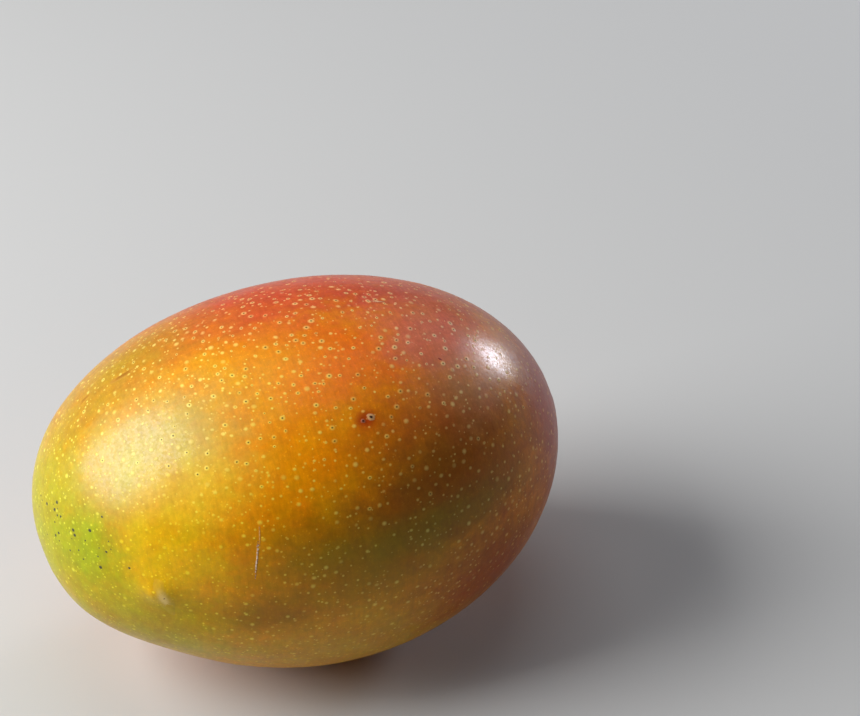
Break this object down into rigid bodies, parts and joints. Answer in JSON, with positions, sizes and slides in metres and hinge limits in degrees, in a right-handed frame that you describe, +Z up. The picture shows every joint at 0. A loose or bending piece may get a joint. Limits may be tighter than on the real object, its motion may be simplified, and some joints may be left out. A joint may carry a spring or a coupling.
{
  "type": "mango fruit",
  "caption": "Whole ripe mango lying on its cheek: a solid egg-shaped fruit with a rounded beak, a shallow stem cavity and a small flat spot underneath to rest on.",
  "frame": {"origin": "middle of the flat spot the fruit rests on", "axes": "+X along the fruit's length from the apex to the stem end, -Y towards the beak side, +Z up through the upper cheek"},
  "size_m": [0.122, 0.0898, 0.0843],
  "materials": {
    "mango_skin": "smooth waxy skin, orange to red with a green-yellow apex and a maroon stem end, speckled with pale lenticels"
  },
  "bodies": {
    "root": {"mango": "mango_skin"}
  },
  "joints": []
}
